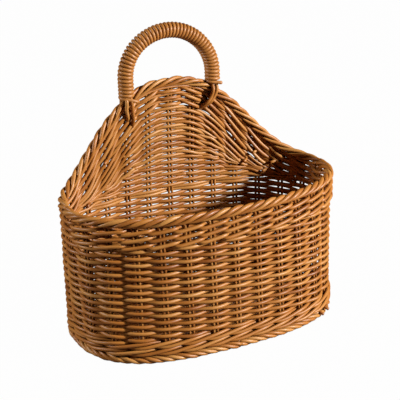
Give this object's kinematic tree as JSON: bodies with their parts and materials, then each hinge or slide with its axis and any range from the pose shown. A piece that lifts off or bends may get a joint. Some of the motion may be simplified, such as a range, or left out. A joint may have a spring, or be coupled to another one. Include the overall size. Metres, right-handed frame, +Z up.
{
  "type": "hanging storage basket",
  "caption": "Woven hanging basket: a deep oval pocket with a low rolled front rim, a tall humped open-weave back and a wrapped loop handle to hang it by.",
  "frame": {"origin": "centre of the footprint, on the surface that the foot border rests on", "axes": "+X to the right as seen from the front, +Y towards the tall back, -Y towards the low front, +Z up"},
  "size_m": [0.2732, 0.1502, 0.2716],
  "materials": {
    "stake_strand": "satin",
    "weaver_strand": "satin",
    "wale_strand": "satin",
    "border_strand": "satin"
  },
  "bodies": {
    "root": {"stake_01": "stake_strand", "stake_02": "stake_strand", "stake_03": "stake_strand", "stake_04": "stake_strand", "stake_05": "stake_strand", "stake_06": "stake_strand", "stake_07": "stake_strand", "stake_08": "stake_strand", "stake_09": "stake_strand", "stake_10": "stake_strand", "stake_11": "stake_strand", "stake_12": "stake_strand", "stake_13": "stake_strand", "stake_14": "stake_strand", "stake_15": "stake_strand", "stake_16": "stake_strand", "stake_17": "stake_strand", "stake_18": "stake_strand", "stake_19": "stake_strand", "stake_20": "stake_strand", "stake_21": "stake_strand", "stake_22": "stake_strand", "stake_23": "stake_strand", "stake_24": "stake_strand", "stake_25": "stake_strand", "stake_26": "stake_strand", "stake_27": "stake_strand", "stake_28": "stake_strand", "body_weaver_1": "weaver_strand", "body_weaver_2": "weaver_strand", "body_weaver_3": "weaver_strand", "body_weaver_4": "weaver_strand", "foot_wale_1": "wale_strand", "foot_wale_2": "wale_strand", "foot_wale_3": "wale_strand", "rim_twine_1a": "wale_strand", "rim_twine_1b": "wale_strand", "rim_twine_2a": "wale_strand", "rim_twine_2b": "wale_strand", "rim_twine_3a": "wale_strand", "rim_twine_3b": "wale_strand", "back_weaver_1": "weaver_strand", "back_weaver_2": "weaver_strand", "back_weaver_3": "weaver_strand", "back_weaver_4": "weaver_strand", "back_weaver_5": "weaver_strand", "back_weaver_6": "weaver_strand", "back_weaver_7": "weaver_strand", "foot_border": "border_strand", "front_border": "border_strand", "back_border": "border_strand", "base_mat": "weaver_strand", "handle_rod_1": "stake_strand", "handle_rod_2": "stake_strand", "handle_rod_3": "stake_strand", "handle_rod_4": "stake_strand", "handle_wrap": "border_strand"}
  },
  "joints": []
}
